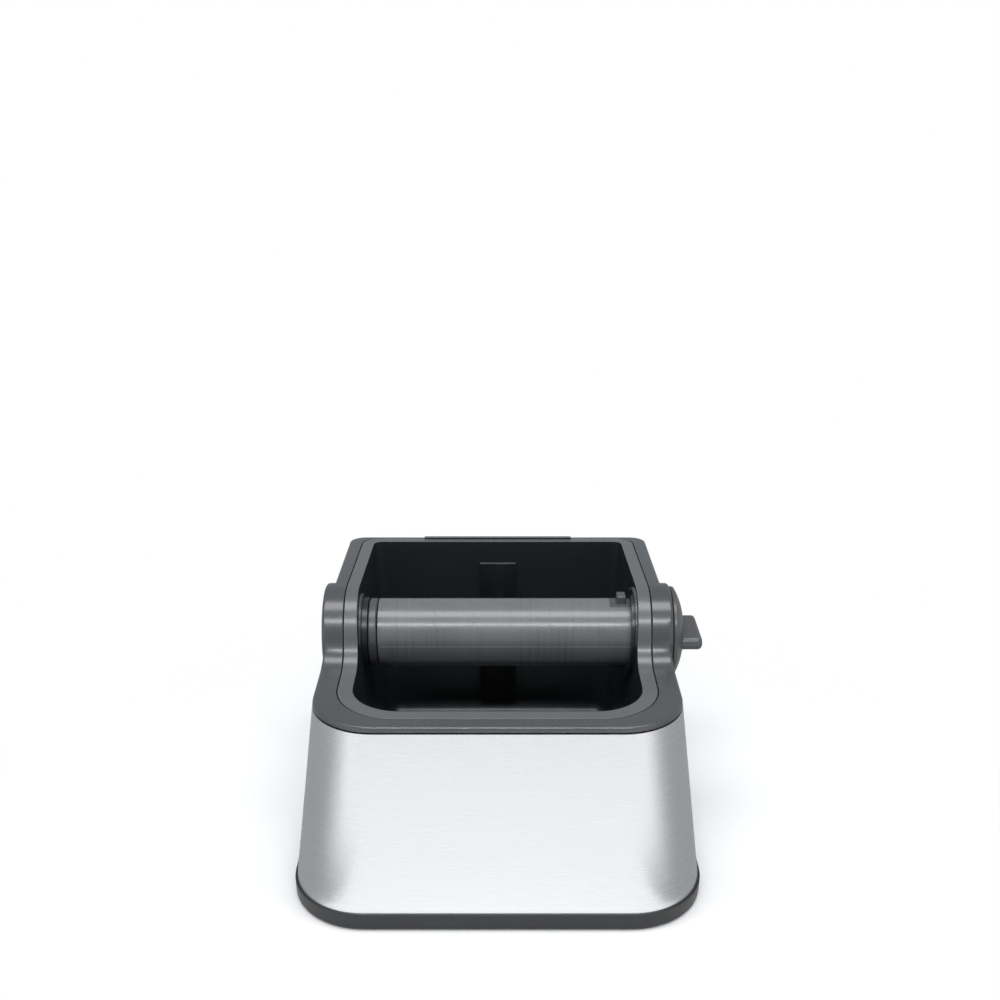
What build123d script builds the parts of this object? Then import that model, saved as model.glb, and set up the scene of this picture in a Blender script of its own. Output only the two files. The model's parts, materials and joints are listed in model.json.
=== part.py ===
from build123d import *
from math import cos, radians, sin, sqrt, tan
import os

os.makedirs("parts", exist_ok=True)

# Espresso knock box: a steel-clad housing, a lift-out bin and a turn-and-pull knock bar.
# +X runs along the bar to its knob, +Y to the back, +Z up. The origin is the middle of the underside.

# Housing shell
plinth_width = 180.0
plinth_depth = 190.0
plinth_height = 8.5
plinth_front_radius = 33.0
plinth_rear_radius = 15.0
plinth_ring_width = 16.0
plinth_edge_round = 1.2
steel_set_back = 1.0
steel_thickness = 0.8
steel_tongue_height = 5.0
steel_tongue_width = 2.0
body_draft_share = 0.143
corner_draft_share = 0.06

# Underside
pad_proud = 0.6
pad_thickness = 2.0
plate_thickness = 2.4
plate_margin = 12.0
pad_margin = 14.5
foot_screw_side_margin = 38.0
foot_screw_end_margin = 39.0
screw_head_radius = 3.5
screw_head_height = 1.3
screw_shank_radius = 1.75
screw_pilot_clearance = 0.1
screw_head_clearance = 1.0

# Rim line, seen from the side
rim_front_z = 92.6
rim_fall_angle = 4.9
foot_radius = 14.0
ear_radius = 22.4
ear_set_back = 12.6
ear_foot_z = 73.5
ear_edge_round = 1.6
frame_band = 3.0
frame_depth = 6.0
frame_edge_round = 1.2
boss_gap = 0.4

# Knock bar
bar_y = 0.0
bar_z = 95.5
barrel_radius = 15.5
sleeve_wall = 4.2
stub_step = 5.25
stub_cap_step = 0.85
stub_cap_length = 14.2
collar_width = 3.8
collar_gap = 0.6
end_play = 0.3
knob_bearing_length = 14.6
knob_radius = 20.9
knob_thickness = 3.2
knob_dome = 2.4
tab_length = 8.4
tab_width = 28.0
tab_thickness = 6.2
tab_edge_round = 2.0
spigot_radius = 8.0
spigot_length = 10.0
pin_radius = 1.5
pin_length = 26.0
seal_wire_radius = 1.1
seal_from_knob = 2.4
running_clearance = 0.1
bore_clearance = 0.5

# Bayonet lock
lug_clearance = 0.35
lug_width = 4.2
lug_depth = 6.0
lug_height = 3.4
lug_round = 0.8
saddle_length = 10.0
saddle_width = 10.0
saddle_thickness = 1.2
saddle_clearance = 0.05
key_clearance = 0.5
cam_base = 1.2
cam_ramp = 1.4
cam_width = 4.3
cam_ramp_top = 2.0
cam_stop_length = 5.0
cam_stop_width = 3.6
socket_flange_margin = 0.5
socket_flange = 2.4
socket_spigot_wall = 2.1
wall_pad_depth = 7.0
left_pad_margin = 2.0
right_pad_margin = 0.5

# Bin
lip_side_margin = 22.5
lip_front_margin = 20.1
lip_rear_margin = 18.1
lip_front_radius = 26.0
lip_rear_radius = 9.0
lip_thickness = 2.4
lip_overhang = 3.0
lip_clearance = 0.4
ledge_width = 2.8
bin_wall = 2.4
bin_floor_z = 14.5
bin_draft_share = 0.031
bin_bottom_round = 8.0
bin_bottom_front_radius = 24.0
bin_bottom_rear_radius = 13.0
bin_top_rear_radius = 6.0
channel_width = 18.0
channel_depth = 1.4
channel_top_drop = 11.0
rear_tab_width = 74.0
rear_tab_height = 1.2
rear_tab_thickness = 2.0

# Inner liner
liner_wall = 2.0
liner_gap = 1.2
liner_floor_z = 9.0
liner_floor = 2.0
liner_draft_share = 0.02
liner_bore_margin = 1.0
step_inset = 10.0
step_height = 2.5
rib_spacing = 68.0
rib_width = 1.2
rib_height = 0.7
post_radius = 4.5
window_width = 21.0
window_height = 22.0
window_drop = 11.5
mullion_width = 1.4
rear_pad_width = 23.0
rear_pad_height = 13.0
rear_pad_thickness = 1.0
rear_pad_drop = 18.0
rear_screw_length = 4.6
tongue_width = 14.0
tongue_height = 20.0
tongue_thickness = 1.7
clip_height = 12.0
clip_waist = 3.0
clip_thickness = 0.6
clip_overlap = 2.5

# Working values
overrun = 1.0
reach = plinth_depth
top_z = bar_z + ear_radius + frame_depth
plate_z = pad_thickness
ledge_z = plate_z + plate_thickness
foot_screw_x = plinth_width / 2 - foot_screw_side_margin
foot_screw_y = plinth_depth / 2 - foot_screw_end_margin
ear_outer_x = plinth_width / 2 - ear_set_back
lip_half_width = plinth_width / 2 - lip_side_margin
lip_front = plinth_depth / 2 - lip_front_margin
lip_rear = plinth_depth / 2 - lip_rear_margin
ear_inner_x = lip_half_width + lip_clearance
opening_half = ear_inner_x - ledge_width
knob_face_x = ear_outer_x + end_play
tip_x = -ear_outer_x
core_radius = barrel_radius - sleeve_wall
stub_radius = barrel_radius - stub_step
stub_cap_radius = stub_radius - stub_cap_step
socket_flange_radius = barrel_radius + socket_flange_margin
socket_spigot_radius = stub_radius + socket_spigot_wall
cam_radius = barrel_radius + running_clearance + cam_width
pad_face_x = lip_half_width - wall_pad_depth
left_pad_radius = barrel_radius + left_pad_margin
right_pad_radius = cam_radius + right_pad_margin
cam_face_x = pad_face_x - cam_base
lug_x = cam_face_x - cam_ramp - lug_clearance - lug_width / 2
socket_face_x = -(pad_face_x - socket_flange)
collar_left_x = socket_face_x + end_play
collar_right_x = collar_left_x + collar_width
sleeve_left_x = collar_right_x + collar_gap
sleeve_right_x = knob_face_x - knob_bearing_length
stub_cap_end_x = tip_x + stub_cap_length
barrel_bore = barrel_radius + bore_clearance
stub_bore = stub_cap_radius + bore_clearance
key_top = barrel_radius + lug_height + key_clearance
key_width = lug_depth + 2 * key_clearance
seal_x = knob_face_x - seal_from_knob


def rounded_plan(half_width, front, rear, front_radius, rear_radius):
    """Face seen from above: straight sides, wide front corners and tighter rear ones."""
    with BuildSketch() as plan:
        with BuildLine():
            FilletPolyline(
                (-half_width, -front),
                (half_width, -front),
                (half_width, rear),
                (-half_width, rear),
                radius=[front_radius, front_radius, rear_radius, rear_radius],
                close=True,
            )
        make_face()
    return plan.sketch


def body_plan(z, inset):
    """The clad body's outline at height z, moved inwards by inset."""
    draft = body_draft_share * (z - plinth_height)
    corner = corner_draft_share * (z - plinth_height)
    half_width = plinth_width / 2 - steel_set_back - draft - inset
    half_depth = plinth_depth / 2 - steel_set_back - draft - inset
    front_radius = plinth_front_radius - steel_set_back - corner - inset
    rear_radius = plinth_rear_radius - steel_set_back - corner - inset
    return rounded_plan(half_width, half_depth, half_depth, front_radius, rear_radius)


def plinth_plan(inset):
    """The plinth's outline, moved inwards by inset."""
    return rounded_plan(
        plinth_width / 2 - inset,
        plinth_depth / 2 - inset,
        plinth_depth / 2 - inset,
        max(plinth_front_radius - inset, plinth_rear_radius / 2),
        max(plinth_rear_radius - inset, plinth_rear_radius / 4),
    )


def lip_plan(inset, draft=0.0):
    """The bin lip's outline, moved inwards by inset and once more by draft."""
    shrink = inset + draft
    return rounded_plan(
        lip_half_width - shrink,
        lip_front - shrink,
        lip_rear - shrink,
        lip_front_radius - shrink,
        max(lip_rear_radius - shrink, lip_rear_radius / 4),
    )


def under_rim(drop, low=0.0):
    """Side outline of all that lies under the rim line, lowered by drop, down to low."""
    crown = ear_radius - drop
    hollow = foot_radius + drop
    bar = Vector(bar_y, bar_z)
    foot_z = rim_front_z + foot_radius
    span = sqrt((ear_radius + foot_radius) ** 2 - (foot_z - bar_z) ** 2)
    foot = Vector(bar_y - span, foot_z)
    to_foot = (foot - bar).normalized()
    fall = radians(rim_fall_angle)
    to_back = Vector(sin(fall), cos(fall))
    hollow_start = foot + Vector(0, -hollow)
    hollow_middle = foot + (Vector(0, -1) - to_foot).normalized() * hollow
    meet = bar + to_foot * crown
    crown_middle = bar + (to_foot + to_back).normalized() * crown
    crown_end = bar + to_back * crown
    back_z = crown_end.Y - (reach - crown_end.X) * tan(fall)
    with BuildSketch() as outline:
        with BuildLine():
            Polyline((-reach, low), (-reach, hollow_start.Y), (hollow_start.X, hollow_start.Y))
            ThreePointArc(hollow_start, hollow_middle, meet)
            ThreePointArc(meet, crown_middle, crown_end)
            Polyline((crown_end.X, crown_end.Y), (reach, back_z), (reach, low), (-reach, low))
        make_face()
    return outline.sketch


def rim_z(y, drop):
    """Height of the rim line behind the ears, lowered by drop."""
    crown = (ear_radius - drop) / cos(radians(rim_fall_angle))
    return bar_z + crown - (y - bar_y) * tan(radians(rim_fall_angle))


def bar_round(radius):
    """A circle about the bar's axis."""
    with Locations((bar_y, bar_z)):
        Circle(radius)


def key_slot(width, top):
    """The slot above the bar that the lug passes through."""
    with Locations((bar_y, bar_z)):
        Rectangle(width, top, align=(Align.CENTER, Align.MIN))


def tub_plan(z, inset):
    """The bin's outline at height z, moved inwards by inset; its corners grow rounder downwards."""
    low_share = (top_z - z) / (top_z - bin_floor_z)
    draft = bin_draft_share * (top_z - z)
    top_front_radius = lip_front_radius - lip_overhang
    front_radius = top_front_radius + (bin_bottom_front_radius - top_front_radius) * low_share
    rear_radius = bin_top_rear_radius + (bin_bottom_rear_radius - bin_top_rear_radius) * low_share
    return rounded_plan(
        lip_half_width - lip_overhang - draft - inset,
        lip_front - lip_overhang - draft - inset,
        lip_rear - lip_overhang - draft - inset,
        front_radius - inset,
        rear_radius - inset,
    )


def liner_plan(z, inset):
    """The liner's outline at height z, moved inwards by inset from its outer face."""
    return lip_plan(lip_overhang - liner_gap - liner_wall + inset, liner_draft_share * (top_z - z))


def along_bar(start, end, radius, mode=Mode.ADD):
    """A round length of the bar's axis from start to end."""
    with BuildSketch(Plane.YZ.offset(start)) as disc:
        bar_round(radius)
    extrude(disc.sketch, amount=end - start, mode=mode)


def trim_under(drop, mode):
    """Keep or cut away all that lies under the lowered rim line."""
    with BuildSketch(Plane.YZ) as side_face:
        add(under_rim(drop))
    extrude(side_face.sketch, amount=plinth_width, both=True, mode=mode)


def stack(low_plan, low, high_plan, high, mode=Mode.ADD):
    """A tapered block between two outlines at the heights low and high."""
    with BuildSketch(Plane.XY.offset(low)) as foot_face:
        add(low_plan)
    with BuildSketch(Plane.XY.offset(high)) as head_face:
        add(high_plan)
    loft([foot_face.sketch, head_face.sketch], ruled=True, mode=mode)


def body_block(low, inset):
    """The clad body's tapered block from height low to above the ears."""
    stack(body_plan(low, inset), low, body_plan(top_z, inset), top_z)


def bar_holes(left_radius, right_radius, inner_x, outer_x, slot_top):
    """Cut the bar's way through both sides, with the lug's slot on the right, up to slot_top over the axis."""
    along_bar(-outer_x, -inner_x, left_radius, mode=Mode.SUBTRACT)
    with BuildSketch(Plane.YZ.offset(inner_x)) as key_hole:
        bar_round(right_radius)
        key_slot(key_width, slot_top)
    extrude(key_hole.sketch, amount=outer_x - inner_x, mode=Mode.SUBTRACT)


# Plinth: a black ring that the steel stands on
with BuildPart() as plinth:
    with BuildSketch(Plane.XY.offset(pad_proud)):
        add(plinth_plan(0))
    extrude(amount=plinth_height - pad_proud)
    fillet(plinth.faces().sort_by(Axis.Z)[0].edges(), plinth_edge_round)
    fillet(plinth.faces().sort_by(Axis.Z)[-1].edges(), steel_set_back / 2)
    with BuildSketch(Plane.XY.offset(plinth_height)):
        add(body_plan(plinth_height + steel_tongue_height, steel_thickness + running_clearance))
    extrude(amount=steel_tongue_height)
    with BuildSketch(Plane.XY.offset(plinth_height)):
        tongue_inset = steel_thickness + running_clearance + steel_tongue_width
        add(body_plan(plinth_height + steel_tongue_height, tongue_inset))
    extrude(amount=steel_tongue_height + overrun, mode=Mode.SUBTRACT)
    with BuildSketch(Plane.XY):
        add(plinth_plan(plinth_ring_width))
    extrude(amount=plinth_height + overrun, mode=Mode.SUBTRACT)
    with BuildSketch(Plane.XY):
        add(plinth_plan(plate_margin))
    extrude(amount=ledge_z, mode=Mode.SUBTRACT)

# Steel wrap: the brushed shell round the four sides, notched for the ears
with BuildPart() as steel_wrap:
    body_block(plinth_height, 0)
    low = plinth_height - overrun
    high = top_z + overrun
    stack(body_plan(low, steel_thickness), low, body_plan(high, steel_thickness), high, Mode.SUBTRACT)
    trim_under(frame_band, Mode.INTERSECT)
    with BuildSketch(Plane.YZ):
        with Locations((bar_y, ear_foot_z - boss_gap)):
            Rectangle(2 * (ear_radius + boss_gap), top_z, align=(Align.CENTER, Align.MIN))
    extrude(amount=plinth_width, both=True, mode=Mode.SUBTRACT)

# Ear bosses: the arched blocks at the two ends of the bar
with BuildPart() as ear_bosses:
    with BuildSketch(Plane.YZ.offset(ear_inner_x + lip_clearance)):
        bar_round(ear_radius)
        with Locations((bar_y, ear_foot_z)):
            Rectangle(2 * ear_radius, bar_z - ear_foot_z, align=(Align.CENTER, Align.MIN))
        with Locations((bar_y, ear_foot_z)):
            Rectangle(4 * ear_radius, ear_radius, align=(Align.CENTER, Align.MAX), mode=Mode.SUBTRACT)
    extrude(amount=ear_outer_x - ear_inner_x - lip_clearance)
    fillet(ear_bosses.faces().sort_by(Axis.X)[-1].edges(), ear_edge_round)
    mirror(about=Plane.YZ)

# Lip recess: the space that the bin's lip drops into
with BuildPart() as lip_recess:
    with BuildSketch(Plane.XY.offset(ear_foot_z - frame_depth)):
        add(lip_plan(-lip_clearance))
    extrude(amount=top_z)
    trim_under(lip_thickness, Mode.SUBTRACT)

# Frame core: the rim's inner depth, behind the steel's top edge
with BuildPart() as frame_core:
    body_block(ear_foot_z - frame_depth, steel_thickness + running_clearance)
    trim_under(frame_band, Mode.INTERSECT)
    trim_under(frame_depth, Mode.SUBTRACT)

# Top frame: the satin rim with the two ears
with BuildPart() as top_frame:
    body_block(ear_foot_z - frame_depth, 0)
    trim_under(0, Mode.INTERSECT)
    trim_under(frame_band, Mode.SUBTRACT)
    outer_top = top_frame.edges().filter_by(lambda edge: abs(edge.center().Z - rim_front_z) < end_play)
    fillet(outer_top, frame_edge_round)
    add(frame_core.part)
    add(ear_bosses.part)
    with BuildSketch(Plane.XY):
        add(lip_plan(ledge_width - lip_clearance))
    extrude(amount=2 * top_z, mode=Mode.SUBTRACT)
    add(lip_recess.part, mode=Mode.SUBTRACT)
    rear_wall_y = lip_rear - lip_overhang + liner_gap + liner_wall
    tongue_top = rim_z(rear_wall_y, frame_band)
    with BuildSketch(Plane.XY.offset(tongue_top - tongue_height)):
        with Locations((-rib_spacing / 2, rear_wall_y), (rib_spacing / 2, rear_wall_y)):
            Rectangle(tongue_width, tongue_thickness, align=(Align.CENTER, Align.MIN))
    extrude(amount=tongue_height)
    bar_holes(stub_bore, barrel_bore, opening_half - overrun, ear_outer_x + overrun, key_top)
    rear_screw_z = rim_z(rear_wall_y, rear_pad_drop) + rear_pad_height / 2
    with BuildSketch(Plane.XZ.offset(-rear_wall_y)):
        with Locations((-rib_spacing / 2, rear_screw_z), (rib_spacing / 2, rear_screw_z)):
            Circle(screw_shank_radius + screw_pilot_clearance)
    extrude(amount=-tongue_thickness - overrun, mode=Mode.SUBTRACT)

# Inner liner: the black shell that the bin hangs in
with BuildPart() as inner_liner:
    stack(liner_plan(liner_floor_z, 0), liner_floor_z, liner_plan(top_z, 0), top_z)
    low = liner_floor_z + liner_floor
    high = top_z + overrun
    stack(liner_plan(low, liner_wall), low, liner_plan(high, liner_wall), high, Mode.SUBTRACT)
    with BuildSketch(Plane.XY.offset(liner_floor_z + liner_floor)):
        add(liner_plan(liner_floor_z + liner_floor, liner_wall + step_inset))
    extrude(amount=step_height)
    liner_inner_y = rear_wall_y - liner_wall
    pad_low = rim_z(rear_wall_y, rear_pad_drop)
    with BuildSketch(Plane.XZ.offset(-liner_inner_y - liner_wall / 2)):
        with Locations((-rib_spacing / 2, pad_low), (rib_spacing / 2, pad_low)):
            Rectangle(rear_pad_width, rear_pad_height, align=(Align.CENTER, Align.MIN))
    extrude(amount=rear_pad_thickness + liner_wall / 2)
    for side in (-1, 1):
        rib_low = liner_floor_z + liner_floor
        rib_low_y = liner_inner_y - liner_draft_share * (top_z - rib_low)
        with BuildSketch(Plane.YZ.offset(side * rib_spacing / 2 - rib_width / 2)):
            with BuildLine():
                Polyline(
                    (rib_low_y - rib_height, rib_low),
                    (liner_inner_y - rib_height, pad_low),
                    (liner_inner_y + liner_wall / 2, pad_low),
                    (rib_low_y + liner_wall / 2, rib_low),
                    close=True,
                )
            make_face()
        extrude(amount=rib_width)
    window_low = rim_z(rear_wall_y, window_drop) - window_height / 2
    with BuildSketch(Plane.XZ.offset(-rear_wall_y - overrun)):
        with Locations((0, window_low)):
            Rectangle(window_width, window_height / 2 + mullion_width, align=(Align.CENTER, Align.MIN))
            Rectangle(
                mullion_width,
                window_height,
                align=(Align.CENTER, Align.MIN),
                mode=Mode.SUBTRACT,
            )
    extrude(amount=liner_wall + 2 * overrun, mode=Mode.SUBTRACT)
    with BuildSketch(Plane.XZ.offset(-rear_wall_y - overrun)):
        with Locations((-rib_spacing / 2, rear_screw_z), (rib_spacing / 2, rear_screw_z)):
            Circle(screw_shank_radius + screw_pilot_clearance)
    extrude(amount=liner_wall + rear_pad_thickness + 2 * overrun, mode=Mode.SUBTRACT)
    trim_under(frame_depth, Mode.INTERSECT)
    liner_bore = barrel_bore + liner_bore_margin
    bar_holes(stub_radius + bore_clearance, liner_bore, opening_half - liner_wall, ear_outer_x, ear_radius)
    with BuildSketch(Plane.XY.offset(ledge_z)):
        with GridLocations(2 * foot_screw_x, 2 * foot_screw_y, 2, 2):
            Circle(post_radius)
    extrude(amount=liner_floor_z - ledge_z)
    with BuildSketch(Plane.XY.offset(ledge_z)):
        with GridLocations(2 * foot_screw_x, 2 * foot_screw_y, 2, 2):
            Circle(screw_shank_radius + screw_pilot_clearance)
    extrude(amount=liner_floor_z - ledge_z + liner_floor / 2, mode=Mode.SUBTRACT)

# Rear clip: the bright bow-shaped spring behind the liner's window
with BuildPart() as rear_clip:
    clip_z = window_low + window_height / 4 + mullion_width / 2
    clip_half = window_width / 2 + clip_overlap
    with BuildSketch(Plane.XZ.offset(-rear_wall_y)):
        with BuildLine():
            Polyline(
                (-clip_half, clip_z - clip_height / 2),
                (0, clip_z - clip_waist / 2),
                (clip_half, clip_z - clip_height / 2),
                (clip_half, clip_z + clip_height / 2),
                (0, clip_z + clip_waist / 2),
                (-clip_half, clip_z + clip_height / 2),
                close=True,
            )
        make_face()
    extrude(amount=-clip_thickness)

# Rear screws: they join the liner to the frame behind the rim
with BuildPart() as rear_screws:
    screw_face_y = liner_inner_y - rear_pad_thickness
    with BuildSketch(Plane.XZ.offset(-screw_face_y)):
        with Locations((-rib_spacing / 2, rear_screw_z), (rib_spacing / 2, rear_screw_z)):
            Circle(screw_head_radius)
    extrude(amount=screw_head_height / 2)
    with BuildSketch(Plane.XZ.offset(-screw_face_y)):
        with Locations((-rib_spacing / 2, rear_screw_z), (rib_spacing / 2, rear_screw_z)):
            Circle(screw_shank_radius)
    extrude(amount=-rear_screw_length + screw_pilot_clearance)

# Bottom plate: it closes the housing and carries the liner's posts
with BuildPart() as bottom_plate:
    with BuildSketch(Plane.XY.offset(plate_z)):
        add(plinth_plan(plate_margin + running_clearance))
        with GridLocations(2 * foot_screw_x, 2 * foot_screw_y, 2, 2):
            Circle(screw_shank_radius + screw_pilot_clearance, mode=Mode.SUBTRACT)
    extrude(amount=plate_thickness)

# Base pad: the non-slip rubber sheet that the box stands on
with BuildPart() as base_pad:
    with BuildSketch(Plane.XY):
        add(plinth_plan(pad_margin))
        with GridLocations(2 * foot_screw_x, 2 * foot_screw_y, 2, 2):
            Circle(screw_head_radius + screw_head_clearance, mode=Mode.SUBTRACT)
    extrude(amount=pad_thickness)

# Bottom screws: plate to liner
with BuildPart() as bottom_screws:
    with BuildSketch(Plane.XY.offset(plate_z - screw_head_height)):
        with GridLocations(2 * foot_screw_x, 2 * foot_screw_y, 2, 2):
            Circle(screw_head_radius)
    extrude(amount=screw_head_height)
    with BuildSketch(Plane.XY.offset(plate_z)):
        with GridLocations(2 * foot_screw_x, 2 * foot_screw_y, 2, 2):
            Circle(screw_shank_radius)
    extrude(amount=liner_floor_z - plate_z)

# Bin hollow: the space for the coffee grounds
with BuildPart() as bin_hollow:
    hollow_z = bin_floor_z + bin_wall
    high = top_z + overrun
    stack(tub_plan(hollow_z, bin_wall), hollow_z, tub_plan(high, bin_wall), high)
    fillet(bin_hollow.faces().sort_by(Axis.Z)[0].edges(), bin_bottom_round - bin_wall)

# Bin lip: the rolled rim that hangs in the frame
with BuildPart() as bin_lip:
    with BuildSketch(Plane.XY.offset(ear_foot_z - frame_depth)):
        add(lip_plan(0))
    extrude(amount=top_z)
    trim_under(0, Mode.INTERSECT)
    trim_under(lip_thickness, Mode.SUBTRACT)

# Bin tub: the lift-out bin
with BuildPart() as bin_tub:
    stack(tub_plan(bin_floor_z, 0), bin_floor_z, tub_plan(top_z, 0), top_z)
    fillet(bin_tub.faces().sort_by(Axis.Z)[0].edges(), bin_bottom_round)
    trim_under(0, Mode.INTERSECT)
    add(bin_lip.part)
    add(bin_hollow.part, mode=Mode.SUBTRACT)
    wall_x = lip_half_width - lip_overhang - bin_wall / 2
    along_bar(-wall_x, -pad_face_x, left_pad_radius)
    along_bar(pad_face_x, wall_x, right_pad_radius)
    socket_bore = socket_spigot_radius + running_clearance
    bar_holes(socket_bore, barrel_bore, opening_half - 2 * bin_wall, ear_outer_x, key_top)
    channel_top = rim_z(lip_rear, channel_top_drop)
    channel_low = bin_floor_z + bin_bottom_round
    inner_y = lip_rear - lip_overhang - bin_wall
    with BuildSketch(Plane.YZ.offset(-channel_width / 2)):
        with BuildLine():
            top_y = inner_y - bin_draft_share * (top_z - channel_top)
            low_y = inner_y - bin_draft_share * (top_z - channel_low)
            Polyline(
                (top_y - channel_depth, channel_top),
                (top_y + bin_wall / 2, channel_top),
                (low_y + bin_wall / 2, channel_low),
                (low_y - channel_depth, channel_low),
                close=True,
            )
        make_face()
    extrude(amount=channel_width)
    with BuildSketch(Plane.XY.offset(rim_z(lip_rear, lip_thickness / 2))):
        with Locations((0, lip_rear)):
            Rectangle(rear_tab_width, rear_tab_thickness, align=(Align.CENTER, Align.MAX))
    extrude(amount=lip_thickness / 2 + rear_tab_height)

# Bar socket: the ring in the bin's left wall that holds the bar's stub
with BuildPart() as bar_socket:
    along_bar(-pad_face_x, socket_face_x, socket_flange_radius)
    along_bar(-pad_face_x - bin_wall, -pad_face_x, socket_spigot_radius)
    along_bar(-ear_outer_x, 0, stub_radius + running_clearance, mode=Mode.SUBTRACT)

# Lock cam: the bayonet ring on the bin's right wall
with BuildPart() as lock_cam:
    pocket_half = lug_depth / 2 + key_clearance
    along_bar(cam_face_x, pad_face_x, cam_radius)
    with BuildSketch(Plane.XZ.offset(-bar_y + pocket_half)):
        with BuildLine():
            Polyline(
                (cam_face_x, bar_z + cam_ramp_top),
                (cam_face_x - cam_ramp, bar_z - cam_radius),
                (cam_face_x, bar_z - cam_radius),
                close=True,
            )
        make_face()
    extrude(amount=cam_radius)
    with BuildSketch(Plane.XZ.offset(-bar_y - pocket_half)):
        with Locations((cam_face_x, bar_z)):
            Rectangle(cam_stop_length, cam_radius, align=(Align.MAX, Align.MAX))
    extrude(amount=-cam_stop_width)
    along_bar(cam_face_x - cam_stop_length, pad_face_x, cam_radius, mode=Mode.INTERSECT)
    along_bar(0, ear_outer_x, barrel_radius + running_clearance, mode=Mode.SUBTRACT)
    with BuildSketch(Plane.YZ.offset(cam_face_x - cam_stop_length)):
        key_slot(key_width, 2 * cam_radius)
    extrude(amount=cam_stop_length + cam_base, mode=Mode.SUBTRACT)

# Bar core: the stiff rod inside the knock bar
with BuildPart() as bar_core:
    cap_post_radius = stub_cap_radius * 2 / 3
    along_bar(tip_x + collar_width / 2, stub_cap_end_x, cap_post_radius)
    along_bar(stub_cap_end_x, collar_right_x + end_play, stub_radius)
    along_bar(collar_right_x + end_play, sleeve_right_x, core_radius)
    along_bar(sleeve_right_x, sleeve_right_x + spigot_length, spigot_radius)
    pin_x = sleeve_right_x + spigot_length / 2
    with BuildSketch(Plane.XY.offset(bar_z - core_radius)):
        with Locations((pin_x, bar_y)):
            Circle(pin_radius + saddle_clearance)
    extrude(amount=2 * core_radius, mode=Mode.SUBTRACT)

# Stub cap: the slimmer end that runs in the left ear
with BuildPart() as stub_cap:
    along_bar(tip_x, stub_cap_end_x, stub_cap_radius)
    chamfer(stub_cap.faces().sort_by(Axis.X)[0].edges(), collar_gap)
    along_bar(tip_x + collar_width / 2, stub_cap_end_x, cap_post_radius + saddle_clearance, mode=Mode.SUBTRACT)

# Collar: the loose thrust ring that seats on the socket
with BuildPart() as bar_collar:
    along_bar(collar_left_x, collar_right_x, barrel_radius)
    chamfer(bar_collar.edges().filter_by(GeomType.CIRCLE), collar_gap)
    along_bar(collar_left_x, collar_right_x, stub_radius + running_clearance, mode=Mode.SUBTRACT)

# Lock lug: the saddle and peg that catch behind the cam
with BuildPart() as lug_saddle:
    along_bar(lug_x - saddle_length / 2, lug_x + saddle_length / 2, barrel_radius - saddle_clearance)
    along_bar(
        lug_x - saddle_length / 2,
        lug_x + saddle_length / 2,
        barrel_radius - saddle_thickness,
        mode=Mode.SUBTRACT,
    )
    with BuildSketch(Plane.YZ.offset(lug_x - saddle_length / 2)):
        key_slot(saddle_width, barrel_radius + lug_height)
    extrude(amount=saddle_length, mode=Mode.INTERSECT)

with BuildPart() as lock_lug:
    with BuildSketch(Plane.XY.offset(bar_z + barrel_radius - saddle_thickness / 2)):
        with Locations((lug_x, bar_y)):
            Rectangle(lug_width, lug_depth)
    extrude(amount=lug_height + saddle_thickness / 2)
    fillet(lock_lug.edges().filter_by(Axis.Z) + lock_lug.faces().sort_by(Axis.Z)[-1].edges(), lug_round)
    add(lug_saddle.part)

# Bar sleeve: the rubber tube that the portafilter is knocked on
with BuildPart() as bar_sleeve:
    along_bar(sleeve_left_x, sleeve_right_x, barrel_radius)
    along_bar(sleeve_left_x, sleeve_right_x, core_radius + saddle_clearance, mode=Mode.SUBTRACT)
    with BuildSketch(Plane.YZ.offset(lug_x - saddle_length / 2 - saddle_clearance)):
        bar_round(barrel_radius)
        bar_round_core = barrel_radius - saddle_thickness - saddle_clearance
        with Locations((bar_y, bar_z)):
            Circle(bar_round_core, mode=Mode.SUBTRACT)
            Rectangle(
                saddle_width + 2 * saddle_clearance,
                2 * barrel_radius,
                align=(Align.CENTER, Align.MIN),
                mode=Mode.INTERSECT,
            )
    extrude(amount=saddle_length + 2 * saddle_clearance, mode=Mode.SUBTRACT)

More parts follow.
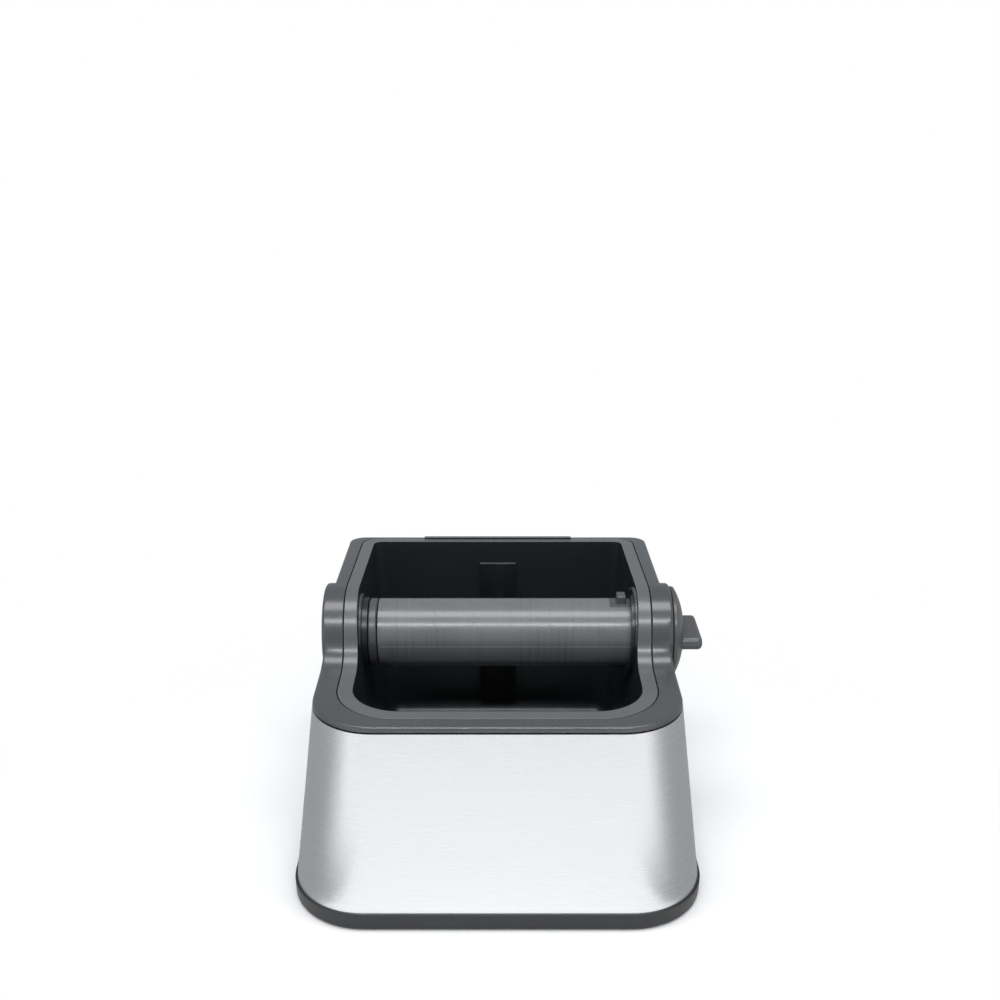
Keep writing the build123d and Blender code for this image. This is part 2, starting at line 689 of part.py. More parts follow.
# Knob: the bearing length, the domed disc and the thumb tab, moulded as one
with BuildPart() as bar_knob:
    knob_left_x = sleeve_right_x + running_clearance
    dome_x = knob_face_x + knob_thickness
    along_bar(knob_left_x, knob_face_x, barrel_radius)
    with BuildSketch(Plane(origin=(0, bar_y, bar_z), x_dir=(1, 0, 0), z_dir=(0, -1, 0))):
        with BuildLine():
            Polyline((dome_x + knob_dome, 0), (knob_face_x, 0), (knob_face_x, knob_radius - end_play))
            Polyline(
                (knob_face_x, knob_radius - end_play),
                (knob_face_x + end_play, knob_radius),
                (dome_x - knob_thickness / 2, knob_radius),
            )
            ThreePointArc(
                (dome_x - knob_thickness / 2, knob_radius),
                (dome_x + knob_dome * 2 / 3, knob_radius * 2 / 3),
                (dome_x + knob_dome, 0),
            )
        make_face()
    revolve(axis=Axis((0, bar_y, bar_z), (1, 0, 0)))
    with BuildSketch(Plane.YZ.offset(knob_face_x + knob_thickness / 2)):
        with Locations((bar_y, bar_z)):
            SlotOverall(tab_width, tab_thickness)
    extrude(amount=knob_thickness / 2 + knob_dome + tab_length)
    fillet(bar_knob.faces().sort_by(Axis.X)[-1].edges(), tab_edge_round)
    groove_radius = barrel_radius - 2 * seal_wire_radius
    with BuildSketch(Plane.YZ.offset(seal_x - seal_wire_radius - saddle_clearance)):
        bar_round(barrel_radius + overrun)
        with Locations((bar_y, bar_z)):
            Circle(groove_radius, mode=Mode.SUBTRACT)
    extrude(amount=2 * (seal_wire_radius + saddle_clearance), mode=Mode.SUBTRACT)
    along_bar(knob_left_x, knob_left_x + spigot_length, spigot_radius + saddle_clearance, mode=Mode.SUBTRACT)
    with BuildSketch(Plane.XY.offset(bar_z - pin_length / 2)):
        with Locations((pin_x, bar_y)):
            Circle(pin_radius + saddle_clearance)
    extrude(amount=pin_length, mode=Mode.SUBTRACT)

# Knob seal: the rubber ring that wipes the right ear's bore
with BuildPart() as knob_seal:
    with BuildSketch(Plane(origin=(0, bar_y, bar_z), x_dir=(1, 0, 0), z_dir=(0, -1, 0))):
        with Locations((seal_x, groove_radius + seal_wire_radius + end_play)):
            Circle(seal_wire_radius)
    revolve(axis=Axis((0, bar_y, bar_z), (1, 0, 0)))

# Knob pin: the cross pin that holds the knob to the core
with BuildPart() as knob_pin:
    with BuildSketch(Plane.XY.offset(bar_z - pin_length / 2)):
        with Locations((pin_x, bar_y)):
            Circle(pin_radius)
    extrude(amount=pin_length)

pieces = {
    "plinth": plinth,
    "steel_wrap": steel_wrap,
    "top_frame": top_frame,
    "inner_liner": inner_liner,
    "rear_clip": rear_clip,
    "rear_screws": rear_screws,
    "bottom_plate": bottom_plate,
    "base_pad": base_pad,
    "bottom_screws": bottom_screws,
    "bin_tub": bin_tub,
    "bar_socket": bar_socket,
    "lock_cam": lock_cam,
    "bar_core": bar_core,
    "stub_cap": stub_cap,
    "bar_collar": bar_collar,
    "lock_lug": lock_lug,
    "bar_sleeve": bar_sleeve,
    "bar_knob": bar_knob,
    "knob_seal": knob_seal,
    "knob_pin": knob_pin,
}
for piece_name, piece in pieces.items():
    piece.part.label = piece_name
    export_step(piece.part, f"parts/{piece_name}.step")
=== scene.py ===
import json
import math

import bmesh
import bpy
from bpy.props import FloatProperty, FloatVectorProperty, PointerProperty
from mathutils import Matrix, Vector
from mathutils.bvhtree import BVHTree


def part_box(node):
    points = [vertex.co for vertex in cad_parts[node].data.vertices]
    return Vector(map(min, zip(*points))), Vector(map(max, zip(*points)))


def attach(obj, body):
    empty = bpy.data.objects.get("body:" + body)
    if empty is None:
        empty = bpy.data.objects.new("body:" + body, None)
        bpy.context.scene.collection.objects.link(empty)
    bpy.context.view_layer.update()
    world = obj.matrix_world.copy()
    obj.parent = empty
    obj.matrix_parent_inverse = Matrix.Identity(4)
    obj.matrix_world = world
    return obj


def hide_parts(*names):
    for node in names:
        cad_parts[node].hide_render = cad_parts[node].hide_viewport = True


bl_info = {
    "name": "Espresso knock box",
    "version": (1, 0, 0),
    "blender": (4, 5, 0),
    "location": "View3D > Sidebar > Knock box",
    "description": "Dresses the knock box: steel shell, rim, liner, bin, knock bar, screws and studio",
    "category": "Object",
}

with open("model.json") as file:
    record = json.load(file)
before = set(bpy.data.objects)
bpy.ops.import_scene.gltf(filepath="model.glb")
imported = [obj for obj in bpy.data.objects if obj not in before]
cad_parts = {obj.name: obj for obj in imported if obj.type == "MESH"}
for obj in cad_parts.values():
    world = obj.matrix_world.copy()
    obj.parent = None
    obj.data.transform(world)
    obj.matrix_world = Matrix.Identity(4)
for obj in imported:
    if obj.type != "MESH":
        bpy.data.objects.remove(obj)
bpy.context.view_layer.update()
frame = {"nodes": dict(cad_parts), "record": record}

MM = 0.001
BAR_CENTRE = (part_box("bar_sleeve")[0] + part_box("bar_sleeve")[1]) / 2

# Vertices closer than WELD count as one, and edges that turn more than SHARP_TURN get rounded.
WELD = 0.002 * MM
SHARP_TURN = math.radians(32)

# Nearly all values of a noise pattern lie in NOISE_RANGE.
NOISE_RANGE = (0.3, 0.7)
MOTTLE_SHARE = 0.5
BUMP_MOTTLE_SHARE = 0.1
CLOUD_SHARE = 0.68
COAT_ROUGHNESS = 0.14

# The steel's rear edge lies behind this share of its depth.
REAR_SHARE = 0.8

# Faces at the lip that look inwards more than this belong to the bin's wall.
INWARD_LIMIT = 0.5

RING_SIDES = 96
WIRE_SIDES = 6
SCREW_SIDES = 40

# The head's outline from its rim to its top, as shares of its radius and height.
HEAD_HEIGHT = 1.2 * MM
HEAD_PROFILE = ((1.0, 0.0), (1.0, 0.45), (0.86, 0.82), (0.5, 1.0))

# Length of the cross recess as a share of the head's radius.
RECESS_REACH = 1.15

# Piece, CAD node, axis of the screws, degrees from upright, share of the head inside the node's box.
SCREW_SETS = (
    ("liner_screws", "rear_screws", 1, 90, 0.5),
    ("underside_screws", "bottom_screws", 2, 180, 1.0),
)

# Name, place, point it is turned to, width and length in metres, and power in watts.
LAMPS = (
    ("overhead", (0.0, -0.05, 1.2), (0.0, 0.0, 0.05), (1.3, 0.4), 8.5),
    ("front", (0.0, -0.85, 1.12), (0.0, 0.0, 0.06), (1.0, 0.2), 7.0),
    ("left", (-1.25, -0.35, 0.5), (0.0, 0.0, 0.06), (0.35, 1.0), 2.5),
    ("right", (1.25, -0.35, 0.5), (0.0, 0.0, 0.06), (0.35, 1.0), 2.5),
)


def colour(name, description, default):
    """A colour setting."""
    return FloatVectorProperty(name=name, description=description, subtype="COLOR", default=default)


def length(name, description, default):
    """A length setting, in metres."""
    return FloatProperty(name=name, description=description, default=default,
                         subtype="DISTANCE", unit="LENGTH")


class KnockBoxShell(bpy.types.PropertyGroup):
    """Finish of the housing."""

    steel: colour("Steel", "Brushed stainless steel", (0.78, 0.785, 0.795))
    steel_brush: FloatProperty(name="Brush lines", description="Depth of the brushing", default=0.025)
    plinth: colour("Plinth", "Black base ring", (0.0125, 0.0135, 0.015))
    rim: colour("Rim", "Satin rim and ears", (0.064, 0.067, 0.072))
    liner: colour("Liner", "Glossy black liner", (0.007, 0.0075, 0.008))
    edge: length("Edge rounding", "Rounding of the moulded edges", 0.3 * MM)
    # Painted shadow line on the rim's foot, for the shade in the gap above the steel: its height, and how
    # far it keeps from the bar's middle.
    seam: length("Seam", "Height of the dark joint line between rim and steel", 0.9 * MM)
    shadow_line_clear: length("Shadow line stop", "The joint line keeps this far from the bar's middle", 38 * MM)
    pad: colour("Pad", "Rubber pad under the box", (0.02, 0.02, 0.021))


class KnockBoxBin(bpy.types.PropertyGroup):
    """Finish of the lift-out bin, with a painted sheen on its lip."""

    tub: colour("Bin", "Charcoal bin", (0.017, 0.0195, 0.022))
    edge: length("Edge rounding", "Rounding of the bin's lip", 0.3 * MM)
    # The lip's colour is a painted sheen: lighter than the bin's charcoal, for the light the rolled lip
    # catches.
    lip: colour("Lip", "Satin lip of the bin", (0.105, 0.108, 0.113))
    lip_above: length("Lip height", "Everything of the lip lies above this", 60 * MM)
    lip_width: length("Lip width", "From the lip's outline to the inner wall", 6.4 * MM)
    front_corner: length("Front corner", "Radius of the lip's front corners", 26 * MM)
    rear_corner: length("Rear corner", "Radius of the lip's rear corners", 9 * MM)


class KnockBoxBar(bpy.types.PropertyGroup):
    """Finish and fine detail of the knock bar."""

    sleeve: colour("Sleeve", "Grey rubber sleeve", (0.14, 0.142, 0.147))
    knob: colour("Knob", "Knob, collar and lug", (0.07, 0.072, 0.076))
    stub: colour("Stub", "Stub and its cap", (0.15, 0.152, 0.157))
    seam: colour("Seam", "Raised parting lines of the sleeve", (0.24, 0.243, 0.25))
    seal: colour("Seal", "Rubber ring beside the knob's disc", (0.02, 0.02, 0.021))
    pin: colour("Pin", "Cross pin of the knob", (0.6, 0.6, 0.61))
    knob_edge: length("Knob edge", "Rounding of the knob's and tab's edges", 0.35 * MM)
    lug_edge: length("Lug edge", "Rounding of the lug's and saddle's edges", 0.175 * MM)
    ring_spacing: length("Ring spacing", "Distance between the sleeve's moulded ring lines", 17.0 * MM)
    ring_wire: length("Ring wire", "Thickness of a ring line", 0.11 * MM)
    seam_width: length("Seam width", "Width of the sleeve's parting line", 0.35 * MM)
    seam_end: length("Seam end", "The parting line stops this far from each end of the sleeve", MM)


class KnockBoxScrews(bpy.types.PropertyGroup):
    """Shape and finish of the screws and the spring clip."""

    metal: colour("Screw steel", "Bright screws and clip", (0.78, 0.78, 0.79))
    recess_width: length("Recess width", "Width of the cross recess", 1.0 * MM)
    recess_depth: length("Recess depth", "Depth of the cross recess", 0.5 * MM)


class KnockBoxStudio(bpy.types.PropertyGroup):
    """Camera, floor and light."""

    floor: colour("Floor", "Pale floor", (0.93, 0.93, 0.93))
    floor_radius: length("Floor radius", "Far past all that the camera shows", 3.0)
    fade_start: length("Fade start", "Where the floor starts to turn white", 0.10)
    fade_end: length("Fade end", "Where the floor is all white", 0.27)
    sky: colour("Surroundings", "Even light from all round", (0.9, 0.95, 1.0))
    sky_light: FloatProperty(name="Surroundings light", description="Its strength", default=0.34)
    sensor: FloatProperty(name="Sensor", description="Width in millimetres", default=36.0)
    lens: FloatProperty(name="Lens", description="Focal length in millimetres", default=42.505)
    distance: length("Camera distance", "From the point looked at", 0.5569)
    elevation: FloatProperty(name="Camera height", description="Degrees above level", default=28.86)
    card: colour("Card", "Grey side cards, at their back", (0.36, 0.365, 0.375))
    card_light: colour("Card front", "Grey side cards, at their front edge", (1.15, 1.15, 1.15))
    card_near: length("Card start", "Where the cards start on the floor", 0.093)
    card_bright: length("Card bright", "How far forwards the cards start to darken", 0.215)
    card_dark: length("Card dark", "How far forwards the cards are fully dark", 0.085)
    card_x: length("Card distance", "Sideways from the middle", 0.17)
    card_front: length("Card reach", "How far the cards reach forwards", 0.26)
    card_back: length("Card back", "How far the cards reach back", 0.30)
    card_height: length("Card height", "Height of the cards", 0.22)
    look_height: length("Look height", "Height of the point looked at", 0.060)
    shift_x: FloatProperty(name="Shift X", description="Sideways shift of the view", default=0.0024)
    shift_y: FloatProperty(name="Shift Y", description="Upward shift of the view", default=0.200)


def make_group(name, inputs, output):
    """A shader node group with named inputs and one named output; gives the tree and its two ends."""
    tree = bpy.data.node_groups.new(name, "ShaderNodeTree")
    for label, kind, value in inputs:
        socket = tree.interface.new_socket(name=label, in_out="INPUT", socket_type=kind)
        if kind == "NodeSocketFloat":
            socket.default_value = value
    tree.interface.new_socket(name=output[0], in_out="OUTPUT", socket_type=output[1])
    return tree, tree.nodes.new("NodeGroupInput"), tree.nodes.new("NodeGroupOutput")


def place(tree, kind, **values):
    """A node with its properties set."""
    node = tree.nodes.new(kind)
    for key, value in values.items():
        setattr(node, key, value)
    return node


def streak_group():
    """Fine lines along the surface: the pattern is stretched by a different scale on each axis."""
    inputs = [("Along X", "NodeSocketFloat", 6.0), ("Along Y", "NodeSocketFloat", 6.0),
              ("Along Z", "NodeSocketFloat", 2500.0), ("Detail", "NodeSocketFloat", 4.0)]
    tree, start, end = make_group("Streaks", inputs, ("Streak", "NodeSocketFloat"))
    where = place(tree, "ShaderNodeTexCoord")
    scale = place(tree, "ShaderNodeCombineXYZ")
    times = place(tree, "ShaderNodeVectorMath", operation="MULTIPLY")
    noise = place(tree, "ShaderNodeTexNoise")
    noise.inputs["Scale"].default_value = 1.0
    for label, axis in (("Along X", "X"), ("Along Y", "Y"), ("Along Z", "Z")):
        tree.links.new(start.outputs[label], scale.inputs[axis])
    tree.links.new(where.outputs["Object"], times.inputs[0])
    tree.links.new(scale.outputs[0], times.inputs[1])
    tree.links.new(times.outputs[0], noise.inputs["Vector"])
    tree.links.new(start.outputs["Detail"], noise.inputs["Detail"])
    tree.links.new(noise.outputs["Fac"], end.inputs["Streak"])
    return tree


def grain_group():
    """Fine moulded grain with soft, broad handling marks: grain from the one, mottle from the other."""
    inputs = [("Grain scale", "NodeSocketFloat", 2600.0), ("Mottle scale", "NodeSocketFloat", 32.0),
              ("Mottle share", "NodeSocketFloat", 0.5)]
    tree, start, end = make_group("Moulded grain", inputs, ("Grain", "NodeSocketFloat"))
    where = place(tree, "ShaderNodeTexCoord")
    fine = place(tree, "ShaderNodeTexNoise")
    broad = place(tree, "ShaderNodeTexNoise")
    fine.inputs["Detail"].default_value = 3.0
    broad.inputs["Detail"].default_value = 5.0
    blend = place(tree, "ShaderNodeMix", data_type="FLOAT")
    for noise, label in ((fine, "Grain scale"), (broad, "Mottle scale")):
        tree.links.new(where.outputs["Object"], noise.inputs["Vector"])
        tree.links.new(start.outputs[label], noise.inputs["Scale"])
    tree.links.new(start.outputs["Mottle share"], blend.inputs["Factor"])
    tree.links.new(fine.outputs["Fac"], blend.inputs["A"])
    tree.links.new(broad.outputs["Fac"], blend.inputs["B"])
    tree.links.new(blend.outputs["Result"], end.inputs["Grain"])
    return tree


def gap_shadow_group():
    """A mask of the painted shadow line just above the steel's top edge, which is level in front and falls
    to the back.
    """
    inputs = [("Front height", "NodeSocketFloat", 0.09), ("Fall", "NodeSocketFloat", 0.08),
              ("Rear height", "NodeSocketFloat", 0.11), ("Line", "NodeSocketFloat", 0.001),
              ("Stop", "NodeSocketFloat", 0.04)]
    tree, start, end = make_group("Painted gap shadow", inputs, ("Mask", "NodeSocketFloat"))
    where = place(tree, "ShaderNodeTexCoord")
    axes = place(tree, "ShaderNodeSeparateXYZ")
    down = place(tree, "ShaderNodeMath", operation="MULTIPLY")
    rear = place(tree, "ShaderNodeMath", operation="SUBTRACT")
    behind = place(tree, "ShaderNodeMath", operation="GREATER_THAN")
    behind.inputs[1].default_value = 0.0
    edge = place(tree, "ShaderNodeMix", data_type="FLOAT")
    above = place(tree, "ShaderNodeMath", operation="SUBTRACT")
    low = place(tree, "ShaderNodeMath", operation="LESS_THAN")
    far = place(tree, "ShaderNodeMath", operation="ABSOLUTE")
    past = place(tree, "ShaderNodeMath", operation="GREATER_THAN")
    both = place(tree, "ShaderNodeMath", operation="MULTIPLY")
    links = tree.links
    links.new(where.outputs["Object"], axes.inputs[0])
    links.new(axes.outputs["Y"], down.inputs[0])
    links.new(start.outputs["Fall"], down.inputs[1])
    links.new(start.outputs["Rear height"], rear.inputs[0])
    links.new(down.outputs[0], rear.inputs[1])
    links.new(axes.outputs["Y"], behind.inputs[0])
    links.new(behind.outputs[0], edge.inputs["Factor"])
    links.new(start.outputs["Front height"], edge.inputs["A"])
    links.new(rear.outputs[0], edge.inputs["B"])
    links.new(axes.outputs["Z"], above.inputs[0])
    links.new(edge.outputs["Result"], above.inputs[1])
    links.new(above.outputs[0], low.inputs[0])
    links.new(start.outputs["Line"], low.inputs[1])
    links.new(axes.outputs["Y"], far.inputs[0])
    links.new(far.outputs[0], past.inputs[0])
    links.new(start.outputs["Stop"], past.inputs[1])
    links.new(low.outputs[0], both.inputs[0])
    links.new(past.outputs[0], both.inputs[1])
    links.new(both.outputs[0], end.inputs["Mask"])
    return tree


def group_named(name, maker):
    """The node group of that name, made once."""
    return bpy.data.node_groups.get(name) or maker()


def new_material(name, base, metallic=0.0, coat=0.0, anisotropy=0.0):
    """A material with a Principled shader; gives the material, its tree and its shader."""
    material = bpy.data.materials.new(name)
    material.use_nodes = True
    tree = material.node_tree
    shader = tree.nodes["Principled BSDF"]
    shader.inputs["Base Color"].default_value = (*base, 1.0)
    shader.inputs["Metallic"].default_value = metallic
    shader.inputs["IOR"].default_value = 1.5
    shader.inputs["Coat Weight"].default_value = coat
    shader.inputs["Coat Roughness"].default_value = COAT_ROUGHNESS
    shader.inputs["Anisotropic"].default_value = anisotropy
    return material, tree, shader


def ranged(tree, source, low, high):
    """The value of a noise pattern, moved from its own range to low..high."""
    node = place(tree, "ShaderNodeMapRange")
    node.inputs["From Min"].default_value = NOISE_RANGE[0]
    node.inputs["From Max"].default_value = NOISE_RANGE[1]
    node.inputs["To Min"].default_value = low
    node.inputs["To Max"].default_value = high
    tree.links.new(source, node.inputs["Value"])
    return node.outputs["Result"]


def tinted(tree, shader, source, base, dark, light):
    """Vary the base colour between a darker and a lighter share of itself."""
    mix = place(tree, "ShaderNodeMix", data_type="RGBA")
    mix.inputs["A"].default_value = (*[c * dark for c in base], 1.0)
    mix.inputs["B"].default_value = (*[min(c * light, 1.0) for c in base], 1.0)
    tree.links.new(ranged(tree, source, 0.0, 1.0), mix.inputs["Factor"])
    tree.links.new(mix.outputs["Result"], shader.inputs["Base Color"])


def bumped(tree, shader, source, strength, depth):
    """Raise the surface by the value from source."""
    bump = place(tree, "ShaderNodeBump")
    bump.inputs["Strength"].default_value = strength
    bump.inputs["Distance"].default_value = depth
    tree.links.new(source, bump.inputs["Height"])
    tree.links.new(bump.outputs["Normal"], shader.inputs["Normal"])


def streaks(tree, along, detail=4.0):
    """The streak group in a material, with its scale along each axis."""
    node = place(tree, "ShaderNodeGroup", node_tree=group_named("Streaks", streak_group))
    for label, value in zip(("Along X", "Along Y", "Along Z"), along):
        node.inputs[label].default_value = value
    node.inputs["Detail"].default_value = detail
    return node.outputs["Streak"]


def grain(tree, fine, broad, share):
    """The grain group in a material, with its own scales."""
    node = place(tree, "ShaderNodeGroup", node_tree=group_named("Moulded grain", grain_group))
    node.inputs["Grain scale"].default_value = fine
    node.inputs["Mottle scale"].default_value = broad
    node.inputs["Mottle share"].default_value = share
    return node.outputs["Grain"]


def brushed_steel(name, base, depth):
    """Stainless steel brushed level round the box."""
    material, tree, shader = new_material(name, base, metallic=1.0, anisotropy=0.3)
    lines = streaks(tree, along=(3.0, 3.0, 5200.0))
    tinted(tree, shader, lines, base, dark=0.975, light=1.02)
    tree.links.new(ranged(tree, lines, low=0.25, high=0.33), shader.inputs["Roughness"])
    bumped(tree, shader, lines, strength=depth, depth=0.05 * MM)
    return material


def moulded(name, base, roughness, fine=2600.0, broad=32.0, strength=0.12, coat=0.0):
    """Moulded plastic with a fine grain and faint handling marks."""
    material, tree, shader = new_material(name, base, coat=coat)
    marks = grain(tree, fine, broad, MOTTLE_SHARE)
    tinted(tree, shader, marks, base, dark=0.86, light=1.14)
    tree.links.new(ranged(tree, marks, roughness * 0.86, roughness * 1.16), shader.inputs["Roughness"])
    bumped(tree, shader, grain(tree, fine, broad, BUMP_MOTTLE_SHARE), strength, depth=0.04 * MM)
    return material


def ringed_rubber(name, base, roughness, coat=0.0):
    """Rubber with faint streaks round the bar and a cloudy sheen."""
    material, tree, shader = new_material(name, base, coat=coat)
    lines = streaks(tree, along=(520.0, 9.0, 9.0), detail=2.0)
    cloud = grain(tree, fine=1800.0, broad=48.0, share=0.75)
    mix = place(tree, "ShaderNodeMix", data_type="FLOAT")
    mix.inputs["Factor"].default_value = CLOUD_SHARE
    tree.links.new(lines, mix.inputs["A"])
    tree.links.new(cloud, mix.inputs["B"])
    marks = mix.outputs["Result"]
    tinted(tree, shader, marks, base, dark=0.84, light=1.2)
    tree.links.new(ranged(tree, marks, roughness * 0.7, roughness * 1.4), shader.inputs["Roughness"])
    bumped(tree, shader, lines, strength=0.05, depth=0.03 * MM)
    return material


def bright_metal(name, base):
    """Plated steel with fine turning marks."""
    material, tree, shader = new_material(name, base, metallic=1.0)
    lines = streaks(tree, along=(1200.0, 1200.0, 1200.0))
    tinted(tree, shader, lines, base, dark=0.92, light=1.04)
    tree.links.new(ranged(tree, lines, low=0.14, high=0.26), shader.inputs["Roughness"])
    return material


def dress(node, material):
    """Give a CAD node its finish."""
    piece = frame["nodes"][node]
    piece.data.materials.clear()
    piece.data.materials.append(material)


def body_of(node):
    """The body that a CAD node rides on."""
    bodies = frame["record"]["behaviour"]["bodies"]
    return next(body for body, members in bodies.items() if node in members)


def finish_piece(piece, node, replaced=()):
    """Attach a finished piece to its body and hide the CAD nodes it replaces."""
    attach(piece, body_of(node))
    if replaced:
        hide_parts(*replaced)
    return piece


def add_object(name, data):
    """A new object in the scene, at the origin."""
    piece = bpy.data.objects.new(name, data)
    bpy.context.scene.collection.objects.link(piece)
    return piece


def add_mesh(name, mesh, material):
    """A new object of that mesh, with that material alone."""
    mesh.materials.clear()
    mesh.materials.append(material)
    return add_object(name, mesh)


def mesh_of(shape, name):
    """The mesh of a finished bmesh shape, which is freed."""
    mesh = bpy.data.meshes.new(name)
    shape.to_mesh(mesh)
    shape.free()
    return mesh


def baked(piece):
    """Turn a piece's modifiers into its plain mesh."""
    bpy.context.view_layer.update()
    graph = bpy.context.evaluated_depsgraph_get()
    shown = piece.evaluated_get(graph)
    mesh = bpy.data.meshes.new_from_object(shown, preserve_all_data_layers=True, depsgraph=graph)
    piece.modifiers.clear()
    piece.data = mesh
    return piece


def rounded_copy(node, name, material, width, lowest=-math.inf):
    """A copy of a CAD node with its edges above lowest rounded, standing for that node."""
    mesh = frame["nodes"][node].data.copy()
    mesh.name = name
    shape = bmesh.new()
    shape.from_mesh(mesh)
    bmesh.ops.remove_doubles(shape, verts=shape.verts, dist=WELD)
    weight = shape.edges.layers.float.new("bevel_weight_edge")
    for edge in shape.edges:
        high_enough = min(vert.co.z for vert in edge.verts) > lowest
        if high_enough and edge.is_manifold and edge.calc_face_angle() > SHARP_TURN:
            edge[weight] = 1.0
    shape.to_mesh(mesh)
    shape.free()
    if "custom_normal" in mesh.attributes:
        mesh.attributes.remove(mesh.attributes["custom_normal"])
    mesh.shade_smooth()
    piece = add_mesh(name, mesh, material)
    corners = [vert.co for vert in mesh.vertices]
    surface = BVHTree.FromPolygons(corners, [face.vertices for face in mesh.polygons])
    bevel = piece.modifiers.new("Rounding", "BEVEL")
    bevel.width = width
    bevel.segments = 2
    bevel.limit_method = "WEIGHT"
    bevel.use_clamp_overlap = False
    bevel.harden_normals = True
    baked(piece)
    # The rounding can throw single vertices far off at tight corners; they go back to the surface.
    for vert in piece.data.vertices:
        nearest, _, _, away = surface.find_nearest(vert.co)
        if away > width:
            vert.co = nearest
    return finish_piece(piece, node, replaced=(node,))


def one_material(piece, material):
    """Leave a piece with that material alone."""
    piece.data.materials.clear()
    piece.data.materials.append(material)
    for face in piece.data.polygons:
        face.material_index = 0


def set_input(modifier, tree, label, value):
    """Set the Geometry Nodes input of that name."""
    for item in tree.interface.items_tree:
        if item.item_type == "SOCKET" and item.in_out == "INPUT" and item.name == label:
            modifier[item.identifier] = value
            return
    raise ValueError(f"no input {label}")


def ring_tree(material):
    """Ring lines round the bar: a profile circle swept on a circle, repeated along X."""
    tree = bpy.data.node_groups.new("Ring lines", "GeometryNodeTree")
    inputs = (("Count", "NodeSocketInt"), ("Spacing", "NodeSocketFloat"), ("Radius", "NodeSocketFloat"),
              ("Wire", "NodeSocketFloat"), ("Start", "NodeSocketVector"))
    for label, kind in inputs:
        tree.interface.new_socket(name=label, in_out="INPUT", socket_type=kind)
    tree.interface.new_socket(name="Rings", in_out="OUTPUT", socket_type="NodeSocketGeometry")
    start = tree.nodes.new("NodeGroupInput")
    end = tree.nodes.new("NodeGroupOutput")
    row = place(tree, "GeometryNodeMeshLine", mode="OFFSET")
    step = place(tree, "ShaderNodeCombineXYZ")
    path = place(tree, "GeometryNodeCurvePrimitiveCircle")
    path.inputs["Resolution"].default_value = RING_SIDES
    wire = place(tree, "GeometryNodeCurvePrimitiveCircle")
    wire.inputs["Resolution"].default_value = WIRE_SIDES
    sweep = place(tree, "GeometryNodeCurveToMesh")
    turn = place(tree, "GeometryNodeTransform")
    turn.inputs["Rotation"].default_value = (0.0, math.radians(90), 0.0)
    copies = place(tree, "GeometryNodeInstanceOnPoints")
    real = place(tree, "GeometryNodeRealizeInstances")
    paint = place(tree, "GeometryNodeSetMaterial")
    paint.inputs["Material"].default_value = material
    links = tree.links
    links.new(start.outputs["Count"], row.inputs["Count"])
    links.new(start.outputs["Start"], row.inputs["Start Location"])
    links.new(start.outputs["Spacing"], step.inputs["X"])
    links.new(step.outputs[0], row.inputs["Offset"])
    links.new(start.outputs["Radius"], path.inputs["Radius"])
    links.new(start.outputs["Wire"], wire.inputs["Radius"])
    links.new(path.outputs["Curve"], sweep.inputs["Curve"])
    links.new(wire.outputs["Curve"], sweep.inputs["Profile Curve"])
    links.new(sweep.outputs["Mesh"], turn.inputs["Geometry"])
    links.new(row.outputs["Mesh"], copies.inputs["Points"])
    links.new(turn.outputs["Geometry"], copies.inputs["Instance"])
    links.new(copies.outputs["Instances"], real.inputs["Geometry"])
    links.new(real.outputs["Geometry"], paint.inputs["Geometry"])
    links.new(paint.outputs["Geometry"], end.inputs["Rings"])
    return tree


def screw_tree(material, head):
    """Screw heads on given points: one head's mesh repeated."""
    tree = bpy.data.node_groups.new("Screw heads", "GeometryNodeTree")
    tree.interface.new_socket(name="Points", in_out="INPUT", socket_type="NodeSocketGeometry")
    tree.interface.new_socket(name="Turn", in_out="INPUT", socket_type="NodeSocketFloat")
    tree.interface.new_socket(name="Screws", in_out="OUTPUT", socket_type="NodeSocketGeometry")
    start = tree.nodes.new("NodeGroupInput")
    end = tree.nodes.new("NodeGroupOutput")
    source = place(tree, "GeometryNodeObjectInfo")
    source.inputs["Object"].default_value = head
    copies = place(tree, "GeometryNodeInstanceOnPoints")
    random = place(tree, "FunctionNodeRandomValue", data_type="FLOAT")
    random.inputs["Seed"].default_value = 7
    turn = place(tree, "ShaderNodeMath", operation="MULTIPLY")
    about = place(tree, "ShaderNodeCombineXYZ")
    real = place(tree, "GeometryNodeRealizeInstances")
    paint = place(tree, "GeometryNodeSetMaterial")
    paint.inputs["Material"].default_value = material
    links = tree.links
    links.new(start.outputs["Points"], copies.inputs["Points"])
    links.new(source.outputs["Geometry"], copies.inputs["Instance"])
    links.new(start.outputs["Turn"], turn.inputs[0])
    links.new(random.outputs["Value"], turn.inputs[1])
    links.new(turn.outputs[0], about.inputs["Z"])
    links.new(about.outputs[0], copies.inputs["Rotation"])
    links.new(copies.outputs["Instances"], real.inputs["Geometry"])
    links.new(real.outputs["Geometry"], paint.inputs["Geometry"])
    links.new(paint.outputs["Geometry"], end.inputs["Screws"])
    return tree


def recess_tool(turn, reach, width, depth, height):
    """A bar that cuts one arm pair of the cross recess, turned about the screw's axis."""
    shape = bmesh.new()
    bmesh.ops.create_cube(shape, size=1.0)
    bmesh.ops.scale(shape, vec=(reach, width, 2 * depth), verts=shape.verts)
    bmesh.ops.rotate(shape, matrix=Matrix.Rotation(turn, 3, "Z"), verts=shape.verts)
    bmesh.ops.translate(shape, vec=(0, 0, height), verts=shape.verts)
    return add_object("recess", mesh_of(shape, "recess"))


